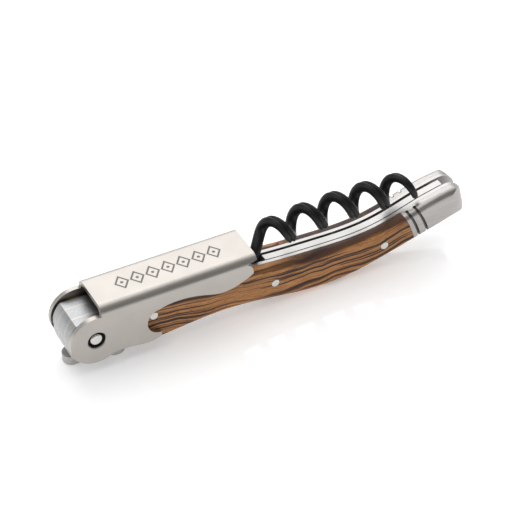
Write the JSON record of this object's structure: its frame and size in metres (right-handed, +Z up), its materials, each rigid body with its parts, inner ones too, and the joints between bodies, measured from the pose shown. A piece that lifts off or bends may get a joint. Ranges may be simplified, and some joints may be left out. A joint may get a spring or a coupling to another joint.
{
  "type": "waiters corkscrew",
  "caption": "Folding waiter's corkscrew with striped wooden scales, steel bolsters, a pressed lever, a black wire worm and a foil blade in the back.",
  "frame": {"origin": "under the middle of the closed length, on the surface that the corkscrew lies on", "axes": "+X along the handle from the lever's hinge to the tail, +Z up out of the belly side with the worm, Y across the handle"},
  "size_m": [0.117, 0.014, 0.0257],
  "materials": {
    "lever_steel": "satin",
    "head_steel": "brushed lengthways",
    "bolster_steel": "satin",
    "liner_steel": "ground",
    "pin_steel": "polished",
    "blade_steel": "fine satin",
    "black_worm": "satin black",
    "striped_wood": "oiled, dark lengthwise stripes",
    "brass_washer": "plain"
  },
  "bodies": {
    "handle": {"near_liner": "liner_steel", "far_liner": "liner_steel", "near_scale": "striped_wood", "far_scale": "striped_wood", "near_tail_bolster": "bolster_steel", "far_tail_bolster": "bolster_steel", "near_head_bolster": "head_steel", "far_head_bolster": "head_steel", "head_spacer": "head_steel", "back_spring": "liner_steel", "centre_spring": "liner_steel", "end_plate": "bolster_steel", "plate_pegs": "pin_steel", "scale_pins": "pin_steel", "spine_rivets": "pin_steel", "centre_rivets": "pin_steel", "lever_pin": "pin_steel", "lever_washers": "brass_washer", "worm_pin": "pin_steel", "worm_washers": "brass_washer", "blade_pin": "pin_steel", "blade_washers": "brass_washer"},
    "lever": {"lever": "lever_steel"},
    "worm": {"worm": "black_worm"},
    "foil_blade": {"foil_blade": "blade_steel"}
  },
  "joints": [
    {"name": "lever_hinge", "type": "hinge", "parent": "handle", "child": "lever", "pos_m": [-0.0513, 0, 0.0102], "axis": [0, -1, 0], "range_deg": [0, 145]},
    {"name": "worm_hinge", "type": "hinge", "parent": "handle", "child": "worm", "pos_m": [-0.0051, 0, 0.0106], "axis": [0, -1, 0], "range_deg": [0, 89.9]},
    {"name": "blade_hinge", "type": "hinge", "parent": "handle", "child": "foil_blade", "pos_m": [0.0498, 0, 0.012], "axis": [0, -1, 0], "range_deg": [0, 175]}
  ],
  "couplings": [
    {"joint": "worm_hinge", "follows": "lever_hinge", "ratio": 0.62}
  ]
}
